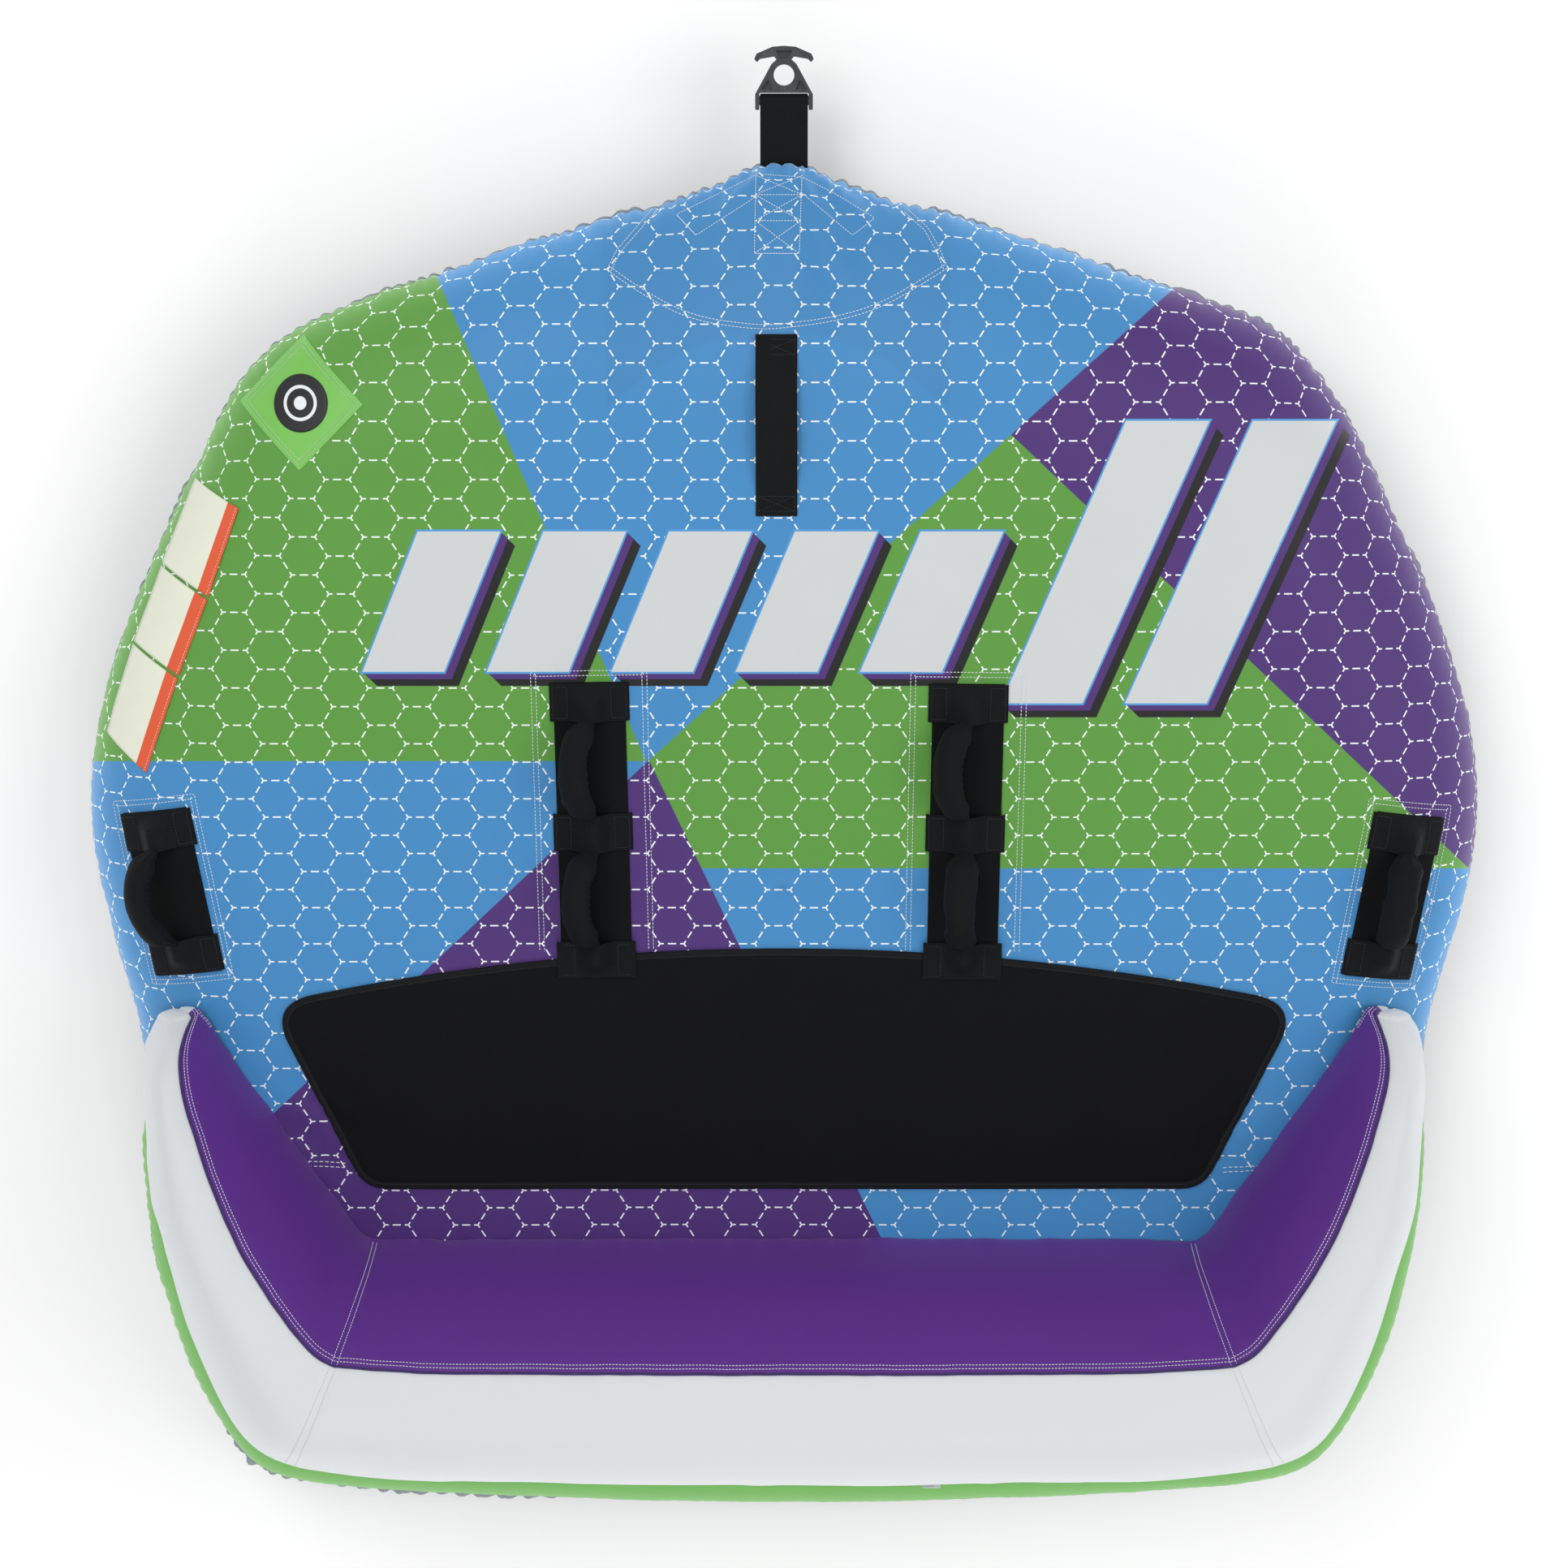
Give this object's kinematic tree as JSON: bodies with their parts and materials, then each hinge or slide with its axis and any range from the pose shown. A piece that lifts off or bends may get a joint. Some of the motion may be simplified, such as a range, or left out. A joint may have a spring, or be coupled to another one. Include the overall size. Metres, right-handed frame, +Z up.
{
  "type": "towable tube",
  "caption": "Inflatable deck tube for towing riders behind a boat, with a raised U-shaped backrest, flip-over grab handles, a seat pad and a front tow strap with rope connector.",
  "frame": {"origin": "middle of the flat underside", "axes": "+Z up out of the deck, +Y forwards to the tow strap, +X to the rider's right"},
  "size_m": [1.774, 1.9019, 0.5065],
  "materials": {
    "deck_nylon": "woven nylon, printed, satin",
    "side_nylon": "woven nylon, satin",
    "base_nylon": "woven nylon, satin",
    "inner_nylon": "woven nylon, satin",
    "outer_nylon": "woven nylon, satin",
    "pvc_film": "welded PVC film, semi-gloss",
    "neoprene": "knit-faced neoprene, matt",
    "binding": "woven tape, matt",
    "webbing": "nylon webbing, matt",
    "foam": "closed-cell foam, matt",
    "label_fabric": "woven label, satin",
    "patch_rubber": "moulded soft PVC, satin",
    "connector_plastic": "moulded nylon, satin",
    "valve_plastic": "moulded PVC, satin",
    "zip_plastic": "polyester coil",
    "zip_metal": "die-cast, black lacquer"
  },
  "bodies": {
    "hull": {"backrest_bladder": "pvc_film", "backrest_inner_left": "inner_nylon", "backrest_inner_rear": "inner_nylon", "backrest_inner_right": "inner_nylon", "backrest_outer_left": "outer_nylon", "backrest_outer_rear": "outer_nylon", "backrest_outer_right": "outer_nylon", "backrest_valve_base": "valve_plastic", "backrest_valve_insert": "valve_plastic", "bottom_cover": "base_nylon", "care_labels": "label_fabric", "emblem_patch": "patch_rubber", "front_grab_strap": "webbing", "handle_tabs_centre_left": "webbing", "handle_tabs_centre_right": "webbing", "handle_tabs_left": "webbing", "handle_tabs_right": "webbing", "hull_bladder_bottom": "pvc_film", "hull_bladder_top": "pvc_film", "hull_bladder_webs": "pvc_film", "hull_valve_base": "valve_plastic", "hull_valve_insert": "valve_plastic", "knuckle_pad_centre_left": "neoprene", "knuckle_pad_centre_right": "neoprene", "knuckle_pad_left": "neoprene", "knuckle_pad_right": "neoprene", "perimeter_seam_tape": "binding", "rear_side_panel": "side_nylon", "seat_pad": "neoprene", "seat_pad_binding": "binding", "top_cover": "deck_nylon", "tow_harness_legs": "webbing", "zip_coil": "zip_plastic", "zip_tape": "zip_plastic"},
    "grip_left": {"grip_sleeve_left": "neoprene", "grip_foam_left": "foam", "grip_webbing_left": "webbing"},
    "grip_centre_left_front": {"grip_sleeve_centre_left_front": "neoprene", "grip_foam_centre_left_front": "foam", "grip_webbing_centre_left_front": "webbing"},
    "grip_centre_left_back": {"grip_sleeve_centre_left_back": "neoprene", "grip_foam_centre_left_back": "foam", "grip_webbing_centre_left_back": "webbing"},
    "grip_centre_right_front": {"grip_sleeve_centre_right_front": "neoprene", "grip_foam_centre_right_front": "foam", "grip_webbing_centre_right_front": "webbing"},
    "grip_centre_right_back": {"grip_sleeve_centre_right_back": "neoprene", "grip_foam_centre_right_back": "foam", "grip_webbing_centre_right_back": "webbing"},
    "grip_right": {"grip_sleeve_right": "neoprene", "grip_foam_right": "foam", "grip_webbing_right": "webbing"},
    "tow_strap": {"tow_strap": "webbing"},
    "tow_connector": {"tow_connector": "connector_plastic"},
    "hull_valve_cap": {"hull_valve_cap": "valve_plastic"},
    "backrest_valve_cap": {"backrest_valve_cap": "valve_plastic"},
    "zip_slider": {"zip_slider": "zip_metal"},
    "zip_pull": {"zip_pull": "zip_metal"}
  },
  "joints": [
    {"name": "tow_strap_swing", "type": "hinge", "parent": "hull", "child": "tow_strap", "pos_m": [0, 0.89, 0.125], "axis": [1, 0, 0], "range_deg": [-50, 50]},
    {"name": "tow_connector_swing", "type": "hinge", "parent": "tow_strap", "child": "tow_connector", "pos_m": [0, 0.954, 0.125], "axis": [1, 0, 0], "range_deg": [-45, 45]},
    {"name": "grip_left_swing", "type": "hinge", "parent": "hull", "child": "grip_left", "pos_m": [-0.76657, -0.0096, 0.25583], "axis": [-0.165, 0.9863, 0], "range_deg": [-16, 88]},
    {"name": "grip_centre_left_front_swing", "type": "hinge", "parent": "hull", "child": "grip_centre_left_front", "pos_m": [-0.23714, 0.15349, 0.2644], "axis": [-0.014, 0.9999, 0], "range_deg": [-22, 82]},
    {"name": "grip_centre_left_back_swing", "type": "hinge", "parent": "hull", "child": "grip_centre_left_back", "pos_m": [-0.23486, -0.00949, 0.2644], "axis": [-0.014, 0.9999, 0], "range_deg": [-20, 84]},
    {"name": "grip_centre_right_front_swing", "type": "hinge", "parent": "hull", "child": "grip_centre_right_front", "pos_m": [0.22485, 0.1515, 0.2644], "axis": [0.0105, 0.9999, 0], "range_deg": [-10, 94]},
    {"name": "grip_centre_right_back_swing", "type": "hinge", "parent": "hull", "child": "grip_centre_right_back", "pos_m": [0.22315, -0.0115, 0.2644], "axis": [0.0105, 0.9999, 0], "range_deg": [-40, 64]},
    {"name": "grip_right_swing", "type": "hinge", "parent": "hull", "child": "grip_right", "pos_m": [0.76258, -0.01457, 0.25583], "axis": [0.1564, 0.9877, 0], "range_deg": [-27, 77]},
    {"name": "hull_valve_cap_open", "type": "hinge", "parent": "hull", "child": "hull_valve_cap", "pos_m": [-0.3375, -0.84584, 0.05425], "axis": [1, 0, 0], "range_deg": [0, 120]},
    {"name": "backrest_valve_cap_open", "type": "hinge", "parent": "hull", "child": "backrest_valve_cap", "pos_m": [0.19047, -0.79296, 0.26761], "axis": [1, 0, 0], "range_deg": [0, 110]},
    {"name": "zip_slider_travel", "type": "hinge", "parent": "hull", "child": "zip_slider", "pos_m": [0, 6.36114, 0.092], "axis": [0, 0, 1], "range_deg": [-1.8, 1.8]},
    {"name": "zip_pull_swing", "type": "hinge", "parent": "zip_slider", "child": "zip_pull", "pos_m": [0, -0.88105, 0.08793], "axis": [1, 0, 0], "range_deg": [-110, 0]}
  ]
}
